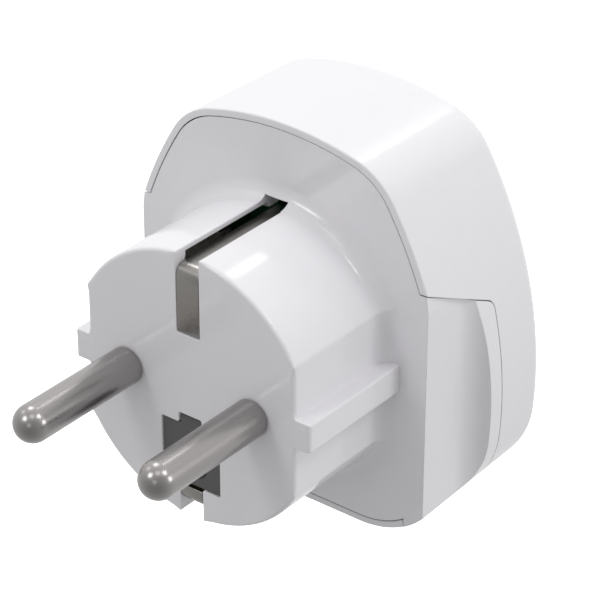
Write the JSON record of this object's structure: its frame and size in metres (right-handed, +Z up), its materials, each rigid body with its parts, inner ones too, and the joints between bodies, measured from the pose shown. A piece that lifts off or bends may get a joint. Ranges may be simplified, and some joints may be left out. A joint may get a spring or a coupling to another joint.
{
  "type": "plug-in power meter",
  "caption": "Compact white plug-in power meter: an earthed two-pin mains plug behind, a shuttered socket with a small display and keys in front.",
  "frame": {"origin": "middle of the plug's face, halfway between the two pins", "axes": "+Z up, towards the top earth contact; the pins point along -Y and the socket and display face +Y; +X is to the right seen from the pin side"},
  "size_m": [0.05, 0.0589, 0.051],
  "materials": {
    "shell_white": "smooth glossy white moulding",
    "hood_white": "smooth glossy white moulding",
    "insert_white": "smooth glossy white moulding",
    "carrier_grey": "satin dark grey moulding",
    "shutter_grey": "satin light grey moulding",
    "spring_steel": "drawn wire",
    "pin_nickel": "satin nickel plate on turned brass",
    "contact_brass": "bare stamped sheet",
    "strap_copper": "bare stamped copper",
    "shunt_alloy": "dull resistance alloy",
    "wire_red": "wire insulation",
    "earth_nickel": "warm grey nickel-plated strip with a fine grain",
    "earth_socket_dark": "flat dark grey sheet",
    "board_green": "solder-masked board",
    "capacitor_yellow": "moulded box",
    "fuse_ceramic": "unglazed tube with plated caps",
    "varistor_blue": "dipped disc",
    "capacitor_can": "sleeved can",
    "chip_black": "moulded package",
    "crystal_can": "drawn can",
    "header_black": "moulded strip",
    "display_glass": "grey-green display cell",
    "window_clear": "clear polished window",
    "elastomer_pink": "zebra strip",
    "button_grey": "satin key",
    "button_red": "satin key",
    "led_cream": "moulded lamp",
    "light_pipe": "translucent rod",
    "screw_steel": "zinc-plated steel"
  },
  "bodies": {
    "meter": {"rear_shell": "shell_white", "front_hood": "hood_white", "socket_insert": "insert_white", "contact_carrier": "carrier_grey", "shutter_spring": "spring_steel", "line_pin": "pin_nickel", "neutral_pin": "pin_nickel", "line_sleeve": "contact_brass", "neutral_sleeve": "contact_brass", "line_busbar": "strap_copper", "load_busbar": "strap_copper", "neutral_link": "strap_copper", "shunt_resistor": "shunt_alloy", "sense_wires": "wire_red", "earth_strip_top": "earth_nickel", "earth_strip_bottom": "earth_nickel", "earth_pin_socket": "earth_socket_dark", "earth_bridge": "contact_brass", "main_board": "board_green", "mains_capacitor": "capacitor_yellow", "fuse": "fuse_ceramic", "varistor": "varistor_blue", "storage_capacitor": "capacitor_can", "metering_chip": "chip_black", "controller_chip": "chip_black", "crystal": "crystal_can", "header_pins": "header_black", "display_board": "board_green", "display_cell": "display_glass", "display_window": "window_clear", "elastomer_strip": "elastomer_pink", "tactile_switches": "chip_black", "status_leds": "led_cream", "light_pipes": "light_pipe", "case_screws": "screw_steel", "display_screws": "screw_steel", "carrier_screws": "screw_steel"},
    "socket_shutter": {"shutter": "shutter_grey"},
    "mode_key": {"mode_button": "button_grey"},
    "reset_key": {"reset_button": "button_red"}
  },
  "joints": [
    {"name": "shutter_turn", "type": "hinge", "parent": "meter", "child": "socket_shutter", "pos_m": [0, 0.02015, 0], "axis": [0, 1, 0], "range_deg": [0, 36], "stiffness_Nm_per_rad": 0.002, "springref_deg": -11.46},
    {"name": "mode_press", "type": "slide", "parent": "meter", "child": "mode_key", "axis": [0, -1, 0], "range_m": [0, 0.0005], "stiffness_N_per_m": 1500, "springref_m": -0.0003},
    {"name": "reset_press", "type": "slide", "parent": "meter", "child": "reset_key", "axis": [0, -1, 0], "range_m": [0, 0.0005], "stiffness_N_per_m": 1500, "springref_m": -0.0003}
  ]
}
